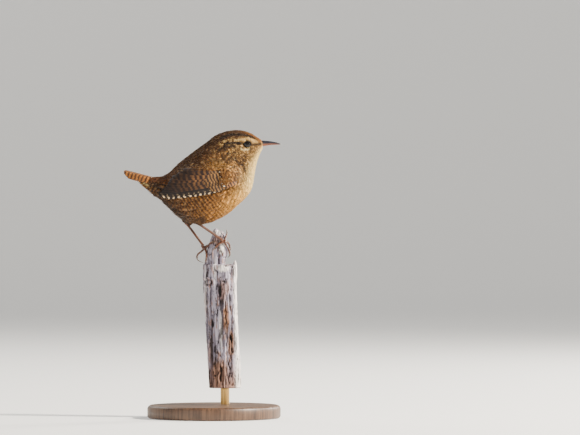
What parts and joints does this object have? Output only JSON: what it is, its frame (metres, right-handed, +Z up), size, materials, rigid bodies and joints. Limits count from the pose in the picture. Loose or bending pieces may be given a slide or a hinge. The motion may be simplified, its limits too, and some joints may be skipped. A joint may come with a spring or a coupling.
{
  "type": "wren",
  "caption": "Life-size Eurasian wren gripping the broken top of a short length of weathered stake, held upright by a rod on a plain round display base.",
  "frame": {"origin": "centre of the stand base's underside", "axes": "+Z up, +X the way the bird faces, +Y to the bird's left; the pictured right side faces -Y"},
  "size_m": [0.085, 0.072, 0.1554],
  "materials": {
    "plumage": "matt body feathers, brown above, buff below, with fine dark bars",
    "flight_feathers": "rufous wing feathers with black bars and pale edge spots",
    "tail_feathers": "rufous tail feathers with narrow dark bars",
    "bill_upper": "satin dark horn",
    "bill_lower": "satin orange-brown horn",
    "eye": "wet gloss, near black",
    "leg": "satin scaled skin, orange-brown",
    "claw": "satin horn",
    "stake_wood": "bare silver-grey weathered wood, cracked along the grain",
    "stand_wood": "waxed dark hardwood",
    "stand_rod": "satin brass"
  },
  "bodies": {
    "root": {"head": "plumage", "neck": "plumage", "torso": "plumage", "bill_upper": "bill_upper", "bill_lower": "bill_lower", "eye_right": "eye", "eye_left": "eye", "tail": "tail_feathers", "wing_right": "flight_feathers", "wing_left": "flight_feathers", "thigh_left": "plumage", "shank_left": "leg", "foot_left": "leg", "claw_left_1": "claw", "claw_left_2": "claw", "claw_left_3": "claw", "claw_left_4": "claw", "thigh_right": "plumage", "shank_right": "leg", "foot_right": "leg", "claw_right_1": "claw", "claw_right_2": "claw", "claw_right_3": "claw", "claw_right_4": "claw", "stake": "stake_wood", "stand_rod": "stand_rod", "stand_base": "stand_wood"}
  },
  "joints": []
}
